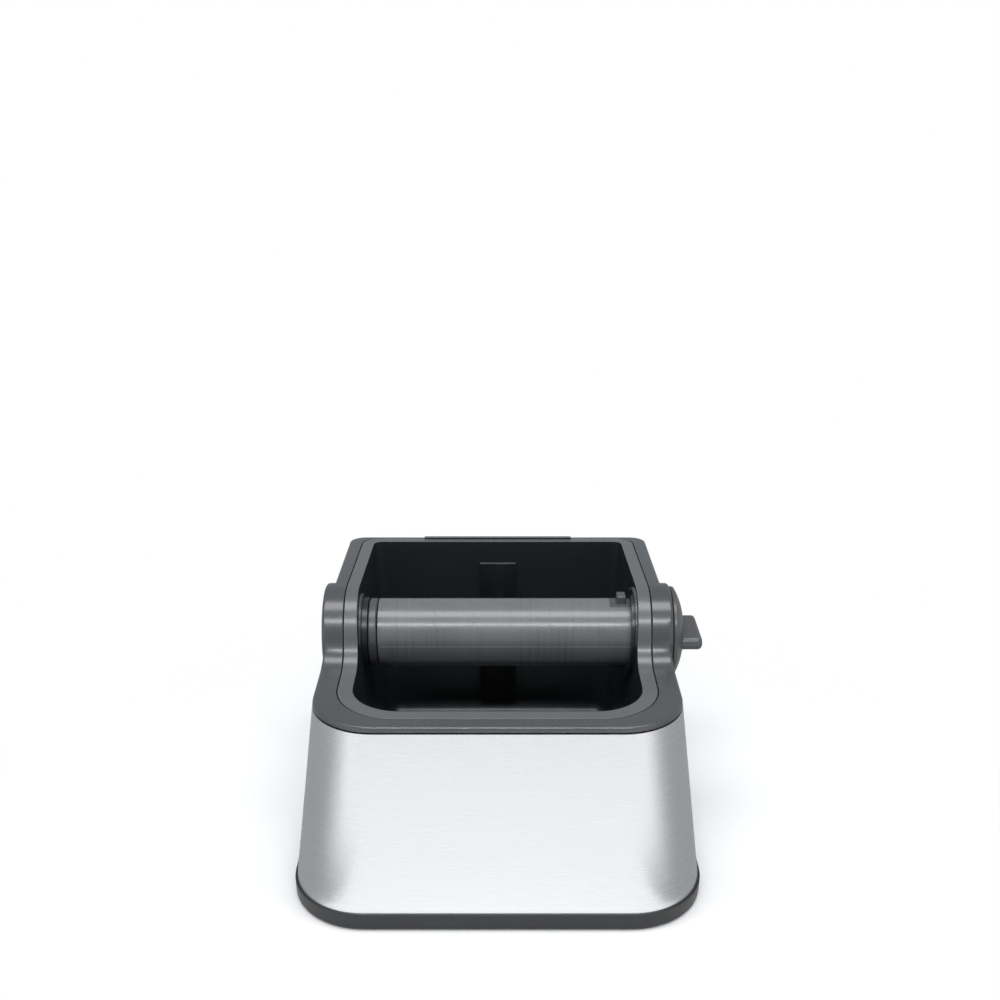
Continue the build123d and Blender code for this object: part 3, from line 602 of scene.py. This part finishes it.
def screw_head(radius, height, shank_radius, shank_length, width, depth):
    """A pan-head screw at the origin, its head above and its shank below, with a cross recess."""
    shape = bmesh.new()
    rings = [(shank_radius, -shank_length), (shank_radius, 0.0)]
    rings += [(radius * out, height * up) for out, up in HEAD_PROFILE]
    angles = [math.tau * i / SCREW_SIDES for i in range(SCREW_SIDES)]
    loops = []
    for reach, z in rings:
        loops.append([shape.verts.new((reach * math.cos(a), reach * math.sin(a), z)) for a in angles])
    for low, high in zip(loops, loops[1:]):
        for i in range(SCREW_SIDES):
            j = (i + 1) % SCREW_SIDES
            shape.faces.new((low[i], low[j], high[j], high[i]))
    shape.faces.new(list(reversed(loops[0])))
    shape.faces.new(loops[-1])
    screw = add_object("screw_head_source", mesh_of(shape, "screw_head"))
    for turn in (0.0, math.radians(90)):
        tool = recess_tool(turn, radius * RECESS_REACH, width, depth, height)
        cut = screw.modifiers.new("Recess", "BOOLEAN")
        cut.operation = "DIFFERENCE"
        cut.solver = "EXACT"
        cut.object = tool
        baked(screw)
        bpy.data.objects.remove(tool)
    return screw


def screws_at(name, node, places, turn_to, sizes, material):
    """Detailed screws at the given places, standing for a CAD node of screws."""
    head = screw_head(*sizes)
    points = bpy.data.meshes.new(name)
    points.from_pydata([turn_to.inverted() @ Vector(p) for p in places], [], [])
    piece = add_mesh(name, points, material)
    tree = screw_tree(material, head)
    heads = piece.modifiers.new("Screws", "NODES")
    heads.node_group = tree
    set_input(heads, tree, "Turn", math.radians(90))
    one_material(baked(piece), material)
    bpy.data.objects.remove(head)
    piece.data.transform(turn_to.to_4x4())
    finish_piece(piece, node, replaced=(node,))


def solid_boxes(node):
    """The low and the high corner of each separate solid of a CAD node."""
    shape = bmesh.new()
    shape.from_mesh(frame["nodes"][node].data)
    bmesh.ops.remove_doubles(shape, verts=shape.verts, dist=WELD)
    left = set(shape.verts)
    boxes = []
    while left:
        reach = [left.pop()]
        part = []
        while reach:
            vert = reach.pop()
            part.append(vert.co.copy())
            for edge in vert.link_edges:
                other = edge.other_vert(vert)
                if other in left:
                    left.discard(other)
                    reach.append(other)
        low = Vector([min(p[i] for p in part) for i in range(3)])
        high = Vector([max(p[i] for p in part) for i in range(3)])
        boxes.append((low, high))
    shape.free()
    return sorted(boxes, key=lambda box: tuple(box[0]))


class KNOCKBOX_OT_shell(bpy.types.Operator):
    """Finish the steel wrap, the plinth and the underside"""

    bl_idname = "knockbox.shell"
    bl_label = "Shell"

    def execute(self, context):
        look = context.scene.knock_box_shell
        dress("steel_wrap", brushed_steel("Brushed steel", look.steel, look.steel_brush))
        base = moulded("Base plastic", look.plinth, roughness=0.42, fine=2200.0, strength=0.2)
        dress("plinth", base)
        dress("bottom_plate", base)
        dress("base_pad", moulded("Pad rubber", look.pad, roughness=0.8, fine=1400.0, strength=0.4))
        return {"FINISHED"}


class KNOCKBOX_OT_rim(bpy.types.Operator):
    """Finish the rim with its ears"""

    bl_idname = "knockbox.rim"
    bl_label = "Rim and ears"

    def execute(self, context):
        look = context.scene.knock_box_shell
        satin = moulded("Rim plastic", look.rim, roughness=0.27,
                        fine=3000.0, broad=26.0, strength=0.07, coat=0.35)
        # Painted shadow line where the rim meets the steel.
        self.paint_gap_shadow(satin, look)
        rounded_copy("top_frame", "rim_and_ears", satin, look.edge)
        return {"FINISHED"}

    def paint_gap_shadow(self, material, look):
        """Paint a dark shadow line on the rim just above the steel, for the shade in the gap between the
        rim and the steel.
        """
        low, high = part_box("steel_wrap")
        points = [vert.co for vert in frame["nodes"]["steel_wrap"].data.vertices]
        front = max(point.z for point in points if point.y < low.y / 2)
        peak = max((point for point in points if point.y > 0), key=lambda point: point.z)
        back = max((point for point in points if point.y > high.y * REAR_SHARE), key=lambda point: point.z)
        fall = (peak.z - back.z) / (back.y - peak.y)
        tree = material.node_tree
        shader = tree.nodes["Principled BSDF"]
        mask = place(tree, "ShaderNodeGroup", node_tree=group_named("Painted gap shadow", gap_shadow_group))
        values = {"Front height": front, "Fall": fall, "Rear height": peak.z + fall * peak.y,
                  "Line": look.seam, "Stop": look.shadow_line_clear}
        for label, value in values.items():
            mask.inputs[label].default_value = value
        # The rim's own colour, and the liner's near-black as the painted shadow line.
        plain = shader.inputs["Base Color"].links[0].from_socket
        mix = place(tree, "ShaderNodeMix", data_type="RGBA")
        mix.inputs["B"].default_value = (*look.liner, 1.0)
        tree.links.new(mask.outputs["Mask"], mix.inputs["Factor"])
        tree.links.new(plain, mix.inputs["A"])
        tree.links.new(mix.outputs["Result"], shader.inputs["Base Color"])


class KNOCKBOX_OT_liner(bpy.types.Operator):
    """Finish the inner liner"""

    bl_idname = "knockbox.liner"
    bl_label = "Liner"

    def execute(self, context):
        look = context.scene.knock_box_shell
        dress("inner_liner", moulded("Liner plastic", look.liner, roughness=0.24, strength=0.06))
        return {"FINISHED"}


class KNOCKBOX_OT_bin(bpy.types.Operator):
    """Finish the bin, its socket and its cam"""

    bl_idname = "knockbox.bin"
    bl_label = "Bin"

    def execute(self, context):
        look = context.scene.knock_box_bin
        charcoal = moulded("Bin plastic", look.tub, roughness=0.33, fine=2800.0, broad=20.0, strength=0.08)
        tub = rounded_copy("bin_tub", "lift_out_bin", charcoal, look.edge, lowest=look.lip_above)
        # A lighter, glossier copy of the bin's charcoal plastic: painted sheen on the lip.
        satin = moulded("Bin lip painted sheen", look.lip, roughness=0.3,
                        fine=2800.0, broad=24.0, strength=0.08, coat=0.3)
        self.paint_lip_sheen(tub, satin, look)
        gloss = moulded("Insert plastic", look.tub, roughness=0.28, strength=0.06)
        dress("bar_socket", gloss)
        dress("lock_cam", gloss)
        return {"FINISHED"}

    def paint_lip_sheen(self, tub, satin, look):
        """Paint a sheen on the rolled lip, a lighter copy of the bin's plastic, down to the wall's inner
        face.
        """
        low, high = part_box("bin_tub")
        tub.data.materials.append(satin)

        def inset(point):
            """How far a point lies inside the lip's rounded outline."""
            front = point.y < 0
            radius = look.front_corner if front else look.rear_corner
            side = high.x - abs(point.x)
            end = point.y - low.y if front else high.y - point.y
            if side < radius and end < radius:
                return radius - math.hypot(radius - side, radius - end)
            return min(side, end)

        for face in tub.data.polygons:
            at_lip = face.center.z > look.lip_above and inset(face.center) < look.lip_width
            inwards = -face.center.xy.normalized().dot(face.normal.xy)
            if at_lip and inwards < INWARD_LIMIT:
                face.material_index = 1


class KNOCKBOX_OT_bar(bpy.types.Operator):
    """Finish the knock bar and add its ring lines and parting lines"""

    bl_idname = "knockbox.bar"
    bl_label = "Knock bar"

    def execute(self, context):
        look = context.scene.knock_box_bar
        rubber = ringed_rubber("Sleeve rubber", look.sleeve, roughness=0.3, coat=0.45)
        knob = moulded("Knob plastic", look.knob, roughness=0.36, fine=1500.0, strength=0.35, coat=0.25)
        stub = ringed_rubber("Stub plastic", look.stub, roughness=0.4)
        dress("bar_sleeve", rubber)
        dress("bar_core", stub)
        dress("stub_cap", stub)
        dress("bar_collar", knob)
        dress("knob_seal", moulded("Seal rubber", look.seal, roughness=0.6, strength=0.1))
        dress("knob_pin", bright_metal("Pin steel", look.pin))
        rounded_copy("bar_knob", "knob_and_tab", knob, look.knob_edge)
        rounded_copy("lock_lug", "lug_and_saddle", knob, look.lug_edge)
        low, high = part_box("bar_sleeve")
        self.add_rings(look, rubber, low, high)
        pale = ringed_rubber("Seam rubber", look.seam, roughness=0.3)
        self.add_seams(look, pale, low, high)
        return {"FINISHED"}

    def add_rings(self, look, material, low, high):
        """The ring lines round the sleeve, evenly spaced along it."""
        rings = add_mesh("sleeve_ring_lines", bpy.data.meshes.new("sleeve_ring_lines"), material)
        tree = ring_tree(material)
        lines = rings.modifiers.new("Ring lines", "NODES")
        lines.node_group = tree
        values = {
            "Count": int((high.x - low.x) / look.ring_spacing),
            "Spacing": look.ring_spacing,
            "Radius": (high.z - low.z) / 2 - look.ring_wire / 2,
            "Wire": look.ring_wire,
            "Start": (low.x + look.ring_spacing / 2, BAR_CENTRE.y, BAR_CENTRE.z),
        }
        for label, value in values.items():
            set_input(lines, tree, label, value)
        one_material(baked(rings), material)
        finish_piece(rings, "bar_sleeve")

    def add_seams(self, look, material, low, high):
        """The two parting lines along the sleeve, front and back."""
        shape = bmesh.new()
        radius = (high.z - low.z) / 2
        size = (high.x - low.x - 2 * look.seam_end, look.ring_wire * 2, look.seam_width)
        for side in (-1, 1):
            strip = bmesh.ops.create_cube(shape, size=1.0)["verts"]
            bmesh.ops.scale(shape, vec=size, verts=strip)
            middle = BAR_CENTRE.y + side * (radius - look.ring_wire / 3)
            bmesh.ops.translate(shape, vec=(BAR_CENTRE.x, middle, BAR_CENTRE.z), verts=strip)
        bmesh.ops.bevel(shape, geom=shape.edges[:], offset=look.ring_wire / 2, segments=2, affect="EDGES")
        finish_piece(add_mesh("sleeve_seams", mesh_of(shape, "sleeve_seams"), material), "bar_sleeve")


class KNOCKBOX_OT_screws(bpy.types.Operator):
    """Model the screws with their cross recesses and finish the spring clip"""

    bl_idname = "knockbox.screws"
    bl_label = "Screws and clip"

    def execute(self, context):
        look = context.scene.knock_box_screws
        metal = bright_metal("Screw steel", look.metal)
        dress("rear_clip", bright_metal("Spring steel", look.metal))
        for name, node, axis, degrees, inside in SCREW_SETS:
            boxes = solid_boxes(node)
            low, high = boxes[0]
            radius = (high.x - low.x) / 2
            seat = HEAD_HEIGHT * inside
            spots = []
            for near, far in boxes:
                spot = [(a + b) / 2 for a, b in zip(near, far)]
                spot[axis] = near[axis] + seat
                spots.append(spot)
            shank = (radius / 2, high[axis] - low[axis] - seat)
            sizes = (radius, HEAD_HEIGHT, *shank, look.recess_width, look.recess_depth)
            turn = Matrix.Rotation(math.radians(degrees), 3, "X")
            screws_at(name, node, spots, turn, sizes, metal)
        return {"FINISHED"}


class KNOCKBOX_OT_studio(bpy.types.Operator):
    """Set the floor, the light and the camera"""

    bl_idname = "knockbox.studio"
    bl_label = "Studio"

    def execute(self, context):
        look = context.scene.knock_box_studio
        self.add_floor(look)
        self.add_world(look)
        self.add_lamps()
        self.add_cards(look)
        self.add_camera(look)
        context.scene.view_settings.view_transform = "Standard"
        return {"FINISHED"}

    def add_floor(self, look):
        """A pale floor that fades into the white surroundings and is clear from below."""
        shape = bmesh.new()
        bmesh.ops.create_circle(shape, cap_ends=True, segments=96, radius=look.floor_radius)
        mesh = mesh_of(shape, "floor")
        material, tree, shader = new_material("Floor", look.floor)
        shader.inputs["Roughness"].default_value = 0.9
        where = place(tree, "ShaderNodeTexCoord")
        far = place(tree, "ShaderNodeVectorMath", operation="LENGTH")
        fade = place(tree, "ShaderNodeMapRange", interpolation_type="SMOOTHSTEP")
        fade.inputs["From Min"].default_value = look.fade_start
        fade.inputs["From Max"].default_value = look.fade_end
        white = place(tree, "ShaderNodeEmission")
        rays = place(tree, "ShaderNodeLightPath")
        seen = place(tree, "ShaderNodeMath", operation="MULTIPLY")
        mix = place(tree, "ShaderNodeMixShader")
        tree.links.new(where.outputs["Object"], far.inputs[0])
        tree.links.new(far.outputs["Value"], fade.inputs["Value"])
        tree.links.new(fade.outputs["Result"], seen.inputs[0])
        tree.links.new(rays.outputs["Is Camera Ray"], seen.inputs[1])
        tree.links.new(seen.outputs[0], mix.inputs["Fac"])
        tree.links.new(shader.outputs[0], mix.inputs[1])
        tree.links.new(white.outputs[0], mix.inputs[2])
        side = place(tree, "ShaderNodeNewGeometry")
        clear = place(tree, "ShaderNodeBsdfTransparent")
        under = place(tree, "ShaderNodeMixShader")
        tree.links.new(side.outputs["Backfacing"], under.inputs["Fac"])
        tree.links.new(mix.outputs[0], under.inputs[1])
        tree.links.new(clear.outputs[0], under.inputs[2])
        tree.links.new(under.outputs[0], tree.nodes["Material Output"].inputs["Surface"])
        floor = add_mesh("floor", mesh, material)

    def add_world(self, look):
        """Even light all round, and pure white where the camera looks past the floor."""
        world = bpy.data.worlds.new("Studio")
        bpy.context.scene.world = world
        world.use_nodes = True
        tree = world.node_tree
        light = tree.nodes["Background"]
        light.inputs["Color"].default_value = (*look.sky, 1.0)
        light.inputs["Strength"].default_value = look.sky_light
        white = place(tree, "ShaderNodeBackground")
        white.inputs["Color"].default_value = (1.0, 1.0, 1.0, 1.0)
        rays = place(tree, "ShaderNodeLightPath")
        mix = place(tree, "ShaderNodeMixShader")
        tree.links.new(rays.outputs["Is Camera Ray"], mix.inputs["Fac"])
        tree.links.new(light.outputs[0], mix.inputs[1])
        tree.links.new(white.outputs[0], mix.inputs[2])
        tree.links.new(mix.outputs[0], tree.nodes["World Output"].inputs["Surface"])

    def add_lamps(self):
        """A broad lamp overhead, one in front and a slim one at each side."""
        for name, place_at, look_at, size, power in LAMPS:
            data = bpy.data.lights.new(name, "AREA")
            data.shape = "RECTANGLE"
            data.size, data.size_y = size
            data.energy = power
            lamp = add_object(name, data)
            lamp.location = place_at
            lamp.rotation_euler = (Vector(look_at) - Vector(place_at)).to_track_quat("-Z", "Y").to_euler()

    def add_cards(self, look):
        """Grey cards at both sides, bent along the floor: only reflections show them, as dark bands."""
        material = bpy.data.materials.new("Grey card")
        material.use_nodes = True
        tree = material.node_tree
        tree.nodes.remove(tree.nodes["Principled BSDF"])
        grey = place(tree, "ShaderNodeEmission")
        where = place(tree, "ShaderNodeTexCoord")
        axes = place(tree, "ShaderNodeSeparateXYZ")
        fade = place(tree, "ShaderNodeMapRange", interpolation_type="SMOOTHSTEP")
        fade.inputs["From Min"].default_value = -look.card_bright
        fade.inputs["From Max"].default_value = -look.card_dark
        mix = place(tree, "ShaderNodeMix", data_type="RGBA")
        mix.inputs["A"].default_value = (*look.card_light, 1.0)
        mix.inputs["B"].default_value = (*look.card, 1.0)
        tree.links.new(where.outputs["Object"], axes.inputs[0])
        tree.links.new(axes.outputs["Y"], fade.inputs["Value"])
        tree.links.new(grey.outputs[0], tree.nodes["Material Output"].inputs["Surface"])
        tree.links.new(fade.outputs["Result"], mix.inputs["Factor"])
        tree.links.new(mix.outputs["Result"], grey.inputs["Color"])
        shape = bmesh.new()
        bend = ((look.card_near, MM), (look.card_x, MM), (look.card_x, look.card_height))
        for side in (-1, 1):
            for (x0, z0), (x1, z1) in zip(bend, bend[1:]):
                corners = ((x0, -look.card_front, z0), (x0, look.card_back, z0),
                           (x1, look.card_back, z1), (x1, -look.card_front, z1))
                shape.faces.new([shape.verts.new((side * x, y, z)) for x, y, z in corners])
        cards = add_mesh("grey_cards", mesh_of(shape, "grey_cards"), material)
        cards.visible_camera = False
        cards.visible_diffuse = False
        cards.visible_shadow = False
        cards.visible_transmission = False

    def add_camera(self, look):
        """A camera at the photograph's viewpoint."""
        data = bpy.data.cameras.new("camera")
        data.lens = look.lens
        data.sensor_width = look.sensor
        data.shift_x = look.shift_x
        data.shift_y = look.shift_y
        camera = add_object("camera", data)
        tilt = math.radians(look.elevation)
        aim = Vector((0, 0, look.look_height))
        camera.location = aim + look.distance * Vector((0, -math.cos(tilt), math.sin(tilt)))
        camera.rotation_euler = (aim - camera.location).to_track_quat("-Z", "Y").to_euler()
        bpy.context.scene.camera = camera


STEPS = (KNOCKBOX_OT_shell, KNOCKBOX_OT_rim, KNOCKBOX_OT_liner, KNOCKBOX_OT_bin,
         KNOCKBOX_OT_bar, KNOCKBOX_OT_screws, KNOCKBOX_OT_studio)
SETTINGS = {"knock_box_shell": KnockBoxShell, "knock_box_bin": KnockBoxBin, "knock_box_bar": KnockBoxBar,
            "knock_box_screws": KnockBoxScrews, "knock_box_studio": KnockBoxStudio}


class KNOCKBOX_PT_panel(bpy.types.Panel):
    """Lists the pieces of the knock box"""

    bl_label = "Knock box"
    bl_idname = "KNOCKBOX_PT_panel"
    bl_space_type = "VIEW_3D"
    bl_region_type = "UI"
    bl_category = "Knock box"

    def draw(self, context):
        for step in STEPS:
            self.layout.operator(step.bl_idname)


def register():
    """Add the settings, the operators and the panel."""
    for name, group in SETTINGS.items():
        bpy.utils.register_class(group)
        setattr(bpy.types.Scene, name, PointerProperty(type=group))
    for step in STEPS:
        bpy.utils.register_class(step)
    bpy.utils.register_class(KNOCKBOX_PT_panel)


def unregister():
    """Take them out again."""
    bpy.utils.unregister_class(KNOCKBOX_PT_panel)
    for step in reversed(STEPS):
        bpy.utils.unregister_class(step)
    for name, group in SETTINGS.items():
        delattr(bpy.types.Scene, name)
        bpy.utils.unregister_class(group)


def main():
    """Make the whole knock box."""
    register()
    for step in STEPS:
        group, name = step.bl_idname.split(".")
        getattr(getattr(bpy.ops, group), name)()


if __name__ == "__main__":
    main()
